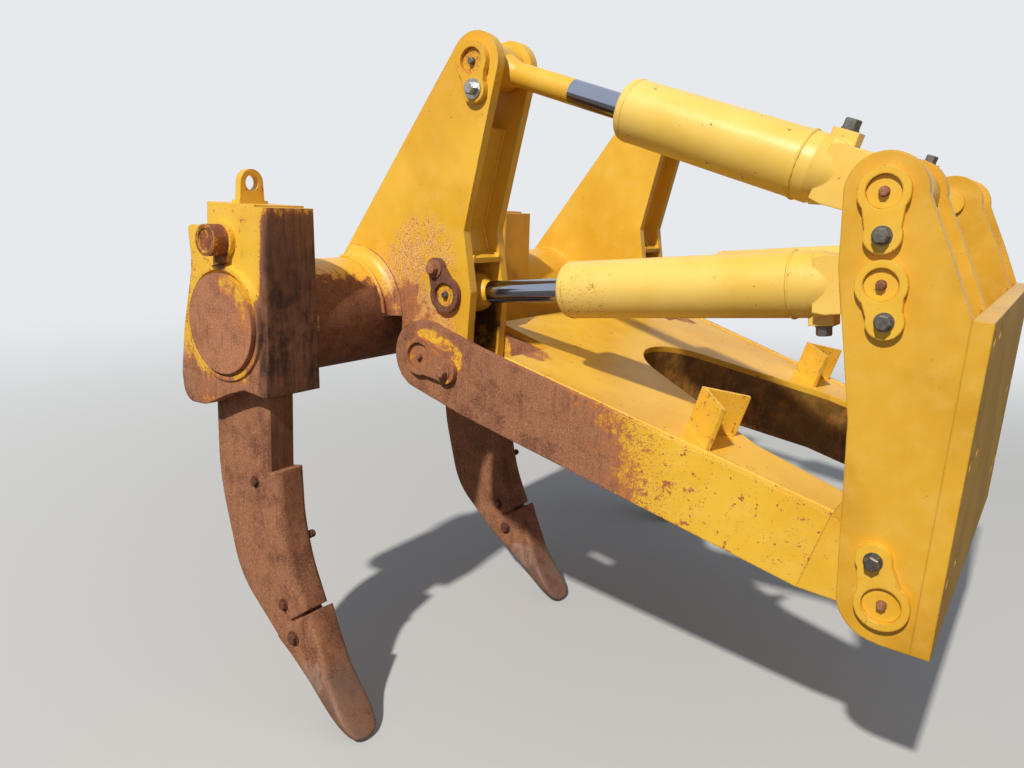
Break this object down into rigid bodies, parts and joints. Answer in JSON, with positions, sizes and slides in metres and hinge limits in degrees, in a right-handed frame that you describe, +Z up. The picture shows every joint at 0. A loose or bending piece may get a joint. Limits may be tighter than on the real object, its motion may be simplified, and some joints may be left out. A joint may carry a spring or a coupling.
{
  "type": "bulldozer ripper",
  "caption": "Rear multi-shank ripper with its mounting bracket: curved shanks in a cross beam, twin towers, a lower arm frame, and lift and tilt cylinders.",
  "frame": {"origin": "centre line of the bracket's mounting face, at the height of the middle of the side plates", "axes": "+X forward toward the tractor, out of the mounting face; +Y to the tractor's left, along the cross beam; +Z up"},
  "size_m": [1.9704, 2.3834, 1.9449],
  "materials": {
    "bracket": "yellow paint, worn",
    "pins": "dull steel, rust bloomed",
    "keepers": "yellow paint with rust",
    "arm": "yellow paint, rusty toward the beam",
    "bushes": "greased bronze",
    "tower": "yellow paint, scratched and dented low down",
    "pocket": "yellow paint over rusted casting",
    "shank": "bare rusted steel",
    "wear_steel": "bare rusted steel, polished by soil at the tip",
    "pocket_pins": "rusted steel",
    "tube": "yellow paint, rust brown below",
    "barrels": "yellow paint",
    "rods": "bright chrome, eyes painted"
  },
  "bodies": {
    "bracket": {"bracket_plates_right": "bracket", "bracket_plates_left": "bracket", "bracket_back_plate": "bracket", "head_pins": "pins", "head_spacers": "bracket", "head_keepers": "keepers"},
    "arm": {"arm_outer_plates": "arm", "arm_inner_ears": "arm", "arm_deck": "arm", "arm_floor": "arm", "arm_slot_wall": "arm", "arm_rear_plates": "arm", "arm_front_ends": "arm", "deck_clips": "arm", "arm_pins": "pins", "arm_pin_keepers": "keepers"},
    "bushes": {"arm_pin_bushes": "bushes"},
    "beam": {"tower_plates_right": "tower", "tower_plates_left": "tower", "tower_webs_right": "tower", "tower_webs_left": "tower", "tower_collars": "tower", "tower_pin_ends": "pins", "tower_keepers": "keepers", "pocket_right": "pocket", "pocket_centre": "pocket", "pocket_left": "pocket", "shank_right": "shank", "shank_centre": "shank", "shank_left": "shank", "shank_guard_right": "wear_steel", "shank_guard_centre": "wear_steel", "shank_guard_left": "wear_steel", "shank_point_right": "wear_steel", "shank_point_centre": "wear_steel", "shank_point_left": "wear_steel", "shank_pins": "pocket_pins", "end_caps": "pocket", "cross_tube": "tube"},
    "lift_barrel_right": {"lift_barrel_right": "barrels"},
    "lift_rod_right": {"lift_rod_right": "rods"},
    "lift_barrel_left": {"lift_barrel_left": "barrels"},
    "lift_rod_left": {"lift_rod_left": "rods"},
    "tilt_barrel_right": {"tilt_barrel_right": "barrels"},
    "tilt_rod_right": {"tilt_rod_right": "rods"},
    "tilt_barrel_left": {"tilt_barrel_left": "barrels"},
    "tilt_rod_left": {"tilt_rod_left": "rods"}
  },
  "joints": [
    {"name": "arm_lift", "type": "hinge", "parent": "bracket", "child": "arm", "pos_m": [-0.11, 0, -0.392], "axis": [0, 1, 0], "range_deg": [-33, 26]},
    {"name": "beam_level", "type": "hinge", "parent": "arm", "child": "bushes", "pos_m": [-1.432, 0, -0.036], "axis": [0, 1, 0], "range_deg": [-26.5, 33.5]},
    {"name": "beam_tilt", "type": "hinge", "parent": "bushes", "child": "beam", "pos_m": [-1.432, 0, -0.036], "axis": [0, 1, 0], "range_deg": [-6, 10]},
    {"name": "lift_barrel_right_turn", "type": "hinge", "parent": "bracket", "child": "lift_barrel_right", "pos_m": [-0.214, -0.561, 0.302], "axis": [0, 1, 0], "range_deg": [-34.82, 27.54]},
    {"name": "lift_rod_right_slide", "type": "slide", "parent": "lift_barrel_right", "child": "lift_rod_right", "axis": [-0.9914, 0, -0.1307], "range_m": [-0.223, 0.283]},
    {"name": "tilt_barrel_right_turn", "type": "hinge", "parent": "bracket", "child": "tilt_barrel_right", "pos_m": [-0.236, -0.561, 0.49], "axis": [0, 1, 0], "range_deg": [-40.76, 32.22]},
    {"name": "tilt_rod_right_slide", "type": "slide", "parent": "tilt_barrel_right", "child": "tilt_rod_right", "axis": [-0.964, 0, 0.266], "range_m": [-0.123, 0.074]},
    {"name": "lift_barrel_left_turn", "type": "hinge", "parent": "bracket", "child": "lift_barrel_left", "pos_m": [-0.214, 0.561, 0.302], "axis": [0, 1, 0], "range_deg": [-34.82, 27.54]},
    {"name": "lift_rod_left_slide", "type": "slide", "parent": "lift_barrel_left", "child": "lift_rod_left", "axis": [-0.9914, 0, -0.1307], "range_m": [-0.223, 0.283]},
    {"name": "tilt_barrel_left_turn", "type": "hinge", "parent": "bracket", "child": "tilt_barrel_left", "pos_m": [-0.236, 0.561, 0.49], "axis": [0, 1, 0], "range_deg": [-40.76, 32.22]},
    {"name": "tilt_rod_left_slide", "type": "slide", "parent": "tilt_barrel_left", "child": "tilt_rod_left", "axis": [-0.964, 0, 0.266], "range_m": [-0.123, 0.074]}
  ],
  "couplings": [
    {"joint": "beam_level", "follows": "arm_lift", "ratio": -1},
    {"joint": "lift_barrel_right_turn", "follows": "arm_lift", "ratio": 1.04},
    {"joint": "lift_rod_right_slide", "follows": "arm_lift", "m_per_rad": -0.49},
    {"joint": "tilt_barrel_right_turn", "follows": "arm_lift", "ratio": 1.22},
    {"joint": "tilt_rod_right_slide", "follows": "beam_tilt", "m_per_rad": -0.7},
    {"joint": "lift_barrel_left_turn", "follows": "arm_lift", "ratio": 1.04},
    {"joint": "lift_rod_left_slide", "follows": "arm_lift", "m_per_rad": -0.49},
    {"joint": "tilt_barrel_left_turn", "follows": "arm_lift", "ratio": 1.22},
    {"joint": "tilt_rod_left_slide", "follows": "beam_tilt", "m_per_rad": -0.7}
  ]
}
